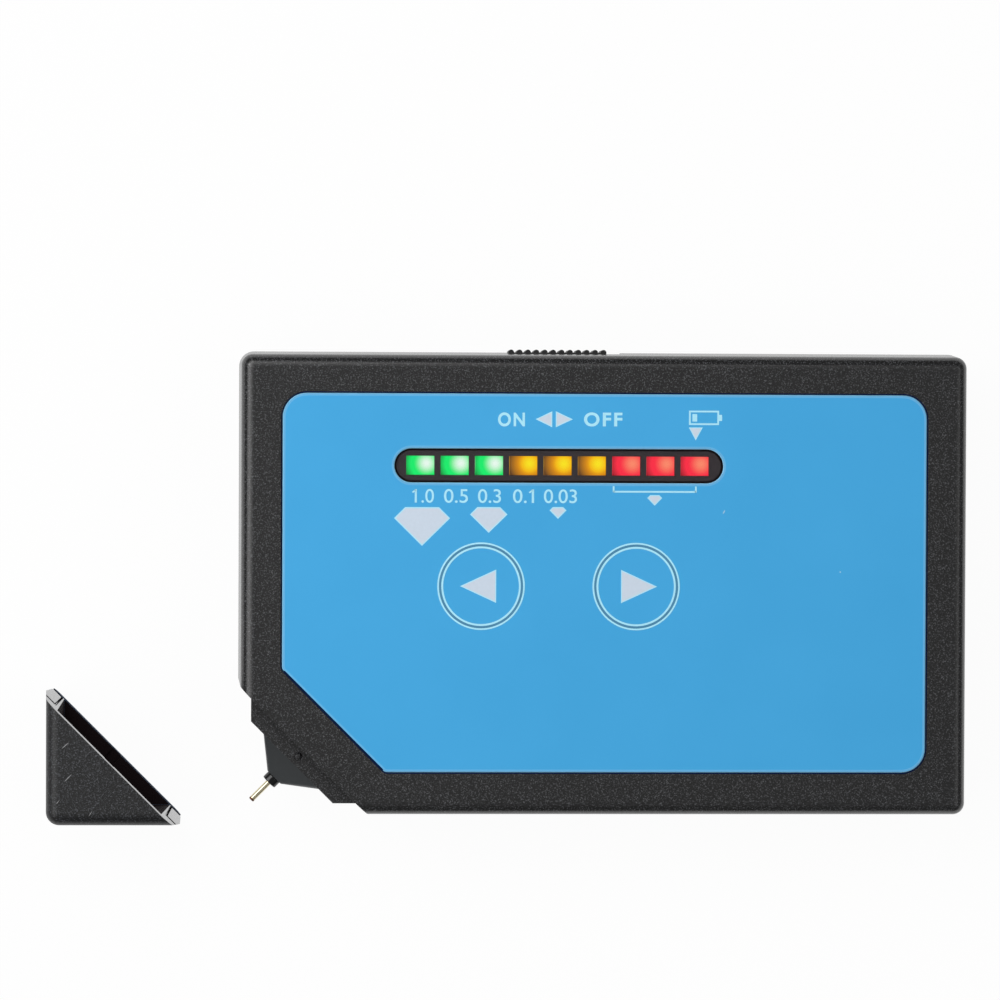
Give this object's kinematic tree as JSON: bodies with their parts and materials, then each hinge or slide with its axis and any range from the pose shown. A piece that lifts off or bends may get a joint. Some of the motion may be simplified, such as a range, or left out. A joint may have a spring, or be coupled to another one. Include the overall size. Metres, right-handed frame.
{
  "type": "diamond tester",
  "caption": "Flat pocket diamond tester with a film panel, scale lights, film keys, a slide switch, a sprung corner probe and its three-cornered cap beside it.",
  "frame": {"origin": "centre of the case's back face, on which the tester lies", "axes": "+X along the case to the right as the panel is read, +Y to the far edge with the slide switch, +Z out of the panel"},
  "size_m": [0.1352, 0.07, 0.018],
  "materials": {
    "case_abs": "moulded with a fine spark-eroded grain",
    "film_blue": "printed polycarbonate film, satin",
    "window_smoke": "smoked clear film",
    "mask_black": "moulded, matte",
    "led_green": "tinted epoxy, lit",
    "led_amber": "tinted epoxy, lit",
    "led_red": "tinted epoxy, lit",
    "knob_plastic": "moulded, ribbed",
    "key_plastic": "moulded",
    "switch_plastic": "moulded",
    "switch_metal": "stamped, tinned",
    "nozzle_plastic": "moulded, smooth",
    "bushing_black": "polished",
    "rod_gold": "drawn, pale gold plated",
    "tip_copper": "turned copper",
    "heater_ceramic": "sintered",
    "spring_steel": "drawn wire, nickel plated",
    "contact_nickel": "stamped, nickel plated",
    "cell_jacket": "plain printed jacket",
    "board_laminate": "glass laminate, solder mask",
    "chip_resin": "moulded resin",
    "capacitor_can": "drawn",
    "resistor_ceramic": "fired",
    "connector_nylon": "moulded",
    "lead_pvc": "extruded insulation",
    "screw_steel": "zinc plated"
  },
  "bodies": {
    "case": {"front_shell": "case_abs", "back_shell": "case_abs", "panel_film": "film_blue", "led_window": "window_smoke", "led_mask": "mask_black", "led_green_1": "led_green", "led_green_2": "led_green", "led_green_3": "led_green", "led_amber_1": "led_amber", "led_amber_2": "led_amber", "led_amber_3": "led_amber", "led_red_1": "led_red", "led_red_2": "led_red", "led_red_3": "led_red", "left_switch_body": "switch_plastic", "right_switch_body": "switch_plastic", "slide_switch_body": "switch_metal", "probe_nozzle": "nozzle_plastic", "probe_holder": "nozzle_plastic", "probe_bushing": "bushing_black", "probe_spring": "spring_steel", "battery_springs": "spring_steel", "battery_bridge_plate": "contact_nickel", "battery_plus_plate": "contact_nickel", "battery_minus_plate": "contact_nickel", "battery_cell_1": "cell_jacket", "battery_cell_2": "cell_jacket", "circuit_board": "board_laminate", "controller_chip": "chip_resin", "amplifier_chip": "chip_resin", "buzzer": "chip_resin", "board_capacitors": "capacitor_can", "board_resistors": "resistor_ceramic", "probe_connector": "connector_nylon", "probe_plug": "connector_nylon", "probe_leads": "lead_pvc", "battery_leads": "lead_pvc", "case_screws": "screw_steel", "board_screws": "screw_steel"},
    "power_slider": {"power_knob": "knob_plastic", "slide_switch_lever": "switch_plastic"},
    "left_key": {"left_key_film": "film_blue", "left_key_cap": "key_plastic", "left_switch_stem": "switch_plastic"},
    "right_key": {"right_key_film": "film_blue", "right_key_cap": "key_plastic", "right_switch_stem": "switch_plastic"},
    "probe": {"probe_rod": "rod_gold", "probe_tip": "tip_copper", "probe_heater": "heater_ceramic"},
    "cover": {"battery_cover": "case_abs"},
    "cap": {"probe_cap": "case_abs"}
  },
  "joints": [
    {"name": "power_slide", "type": "slide", "parent": "case", "child": "power_slider", "axis": [1, 0, 0], "range_m": [0, 0.002]},
    {"name": "left_key_press", "type": "slide", "parent": "case", "child": "left_key", "axis": [0, 0, -1], "range_m": [0, 0.0003], "stiffness_N_per_m": 1000, "springref_m": -0.0004},
    {"name": "right_key_press", "type": "slide", "parent": "case", "child": "right_key", "axis": [0, 0, -1], "range_m": [0, 0.0003], "stiffness_N_per_m": 1000, "springref_m": -0.0004},
    {"name": "probe_press", "type": "slide", "parent": "case", "child": "probe", "axis": [0.7071, 0.7071, 0], "range_m": [0, 0.0015], "stiffness_N_per_m": 300, "springref_m": -0.001, "deforming": ["probe_spring"]},
    {"name": "battery_cover_slide", "type": "slide", "parent": "case", "child": "cover", "axis": [0, -1, 0], "range_m": [0, 0.028]},
    {"name": "cap_fit", "type": "slide", "parent": "case", "child": "cap", "axis": [0.9987, 0.0501, 0], "range_m": [0, 0.0278]}
  ]
}
